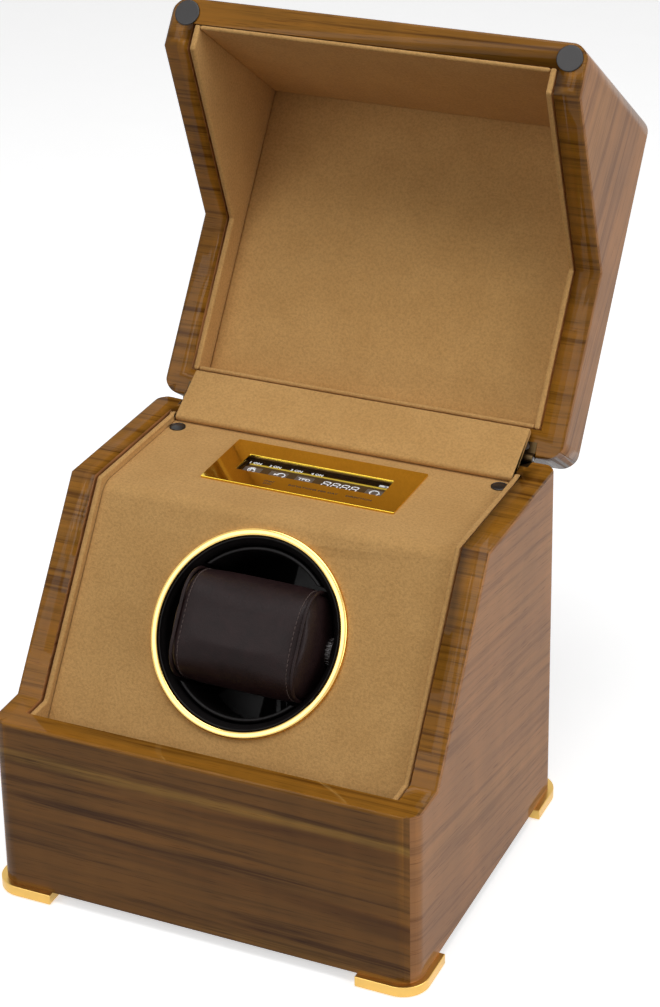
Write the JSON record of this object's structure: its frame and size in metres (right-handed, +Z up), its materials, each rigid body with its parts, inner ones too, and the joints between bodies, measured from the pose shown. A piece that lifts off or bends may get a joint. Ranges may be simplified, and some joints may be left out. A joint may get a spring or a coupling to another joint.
{
  "type": "watch winder box",
  "caption": "Lacquered walnut watch winder box with a sloping suede fascia, one winding drum with a watch cushion, a display panel and a deep hinged lid.",
  "frame": {"origin": "centre of the case's footprint, on the surface that the feet stand on", "axes": "+X to the right of someone facing the drum, +Y to the back, +Z up"},
  "size_m": [0.1952, 0.2773, 0.3388],
  "materials": {
    "walnut": "high-gloss lacquered veneer",
    "plywood": "plain sealed board",
    "suede": "microsuede over board",
    "gilt": "polished gold plate",
    "gloss_black": "gloss moulding",
    "leather": "smooth dark brown leather",
    "foam": "dense foam",
    "display_black": "glossy display",
    "board_green": "laminate",
    "nylon": "natural nylon",
    "bronze": "sintered bronze",
    "rubber": "matt rubber",
    "black_plastic": "matt moulding",
    "steel": "zinc-plated"
  },
  "bodies": {
    "case": {"base_case": "walnut", "floor_board": "plywood", "base_lining_left": "suede", "base_lining_right": "suede", "fascia_battens": "plywood", "fascia": "suede", "fascia_plugs": "rubber", "drum_ring": "gilt", "drum_housing": "gloss_black", "housing_screws": "steel", "drum_bush": "bronze", "gear_bracket": "steel", "bracket_screws": "steel", "motor": "steel", "control_plate": "gilt", "display_glass": "display_black", "display_module": "display_black", "circuit_board": "board_green", "board_posts": "nylon", "battery_box": "black_plastic", "battery_cover": "black_plastic", "cover_screws": "steel", "power_inlet": "black_plastic", "foot_front_left": "gilt", "foot_front_right": "gilt", "foot_back_left": "gilt", "foot_back_right": "gilt", "foot_pads": "rubber", "foot_screws": "steel", "hinge_base_leaves": "gilt", "hinge_pins": "steel", "base_leaf_screws": "steel", "flap_pin": "steel"},
    "lid": {"lid_case": "walnut", "lid_top_lining": "suede", "lid_front_lining": "suede", "lid_back_lining": "suede", "lid_lining_left": "suede", "lid_lining_right": "suede", "lid_bumpers": "rubber", "lid_leaf_screws": "steel", "hinge_lid_leaves": "gilt"},
    "flap": {"flap": "suede"},
    "drum": {"drum_cup": "gloss_black", "drum_shaft": "steel", "drum_gear": "nylon"},
    "motor_rotor": {"motor_pinion": "steel"},
    "cushion": {"cushion_core": "foam", "cushion_cuff": "leather", "cushion_cap_left": "leather", "cushion_cap_right": "leather"}
  },
  "joints": [
    {"name": "lid_hinge", "type": "hinge", "parent": "case", "child": "lid", "pos_m": [0, 0.0812, 0.1622], "axis": [1, 0, 0], "range_deg": [0, 125]},
    {"name": "flap_hinge", "type": "hinge", "parent": "case", "child": "flap", "pos_m": [0, 0.0662, 0.1598], "axis": [1, 0, 0], "range_deg": [0, 125]},
    {"name": "drum_spin", "type": "hinge", "parent": "case", "child": "drum", "pos_m": [0, -0.0283, 0.11755], "axis": [0, -0.819, 0.5738], "continuous": true},
    {"name": "motor_spin", "type": "hinge", "parent": "case", "child": "motor_rotor", "pos_m": [0, -0.04895, 0.08806], "axis": [0, -0.819, 0.5738], "continuous": true},
    {"name": "cushion_slide", "type": "slide", "parent": "drum", "child": "cushion", "axis": [0, 0.819, -0.5738], "range_m": [-0.01, 0]}
  ],
  "couplings": [
    {"joint": "flap_hinge", "follows": "lid_hinge", "ratio": 1},
    {"joint": "motor_spin", "follows": "drum_spin", "ratio": -4}
  ]
}
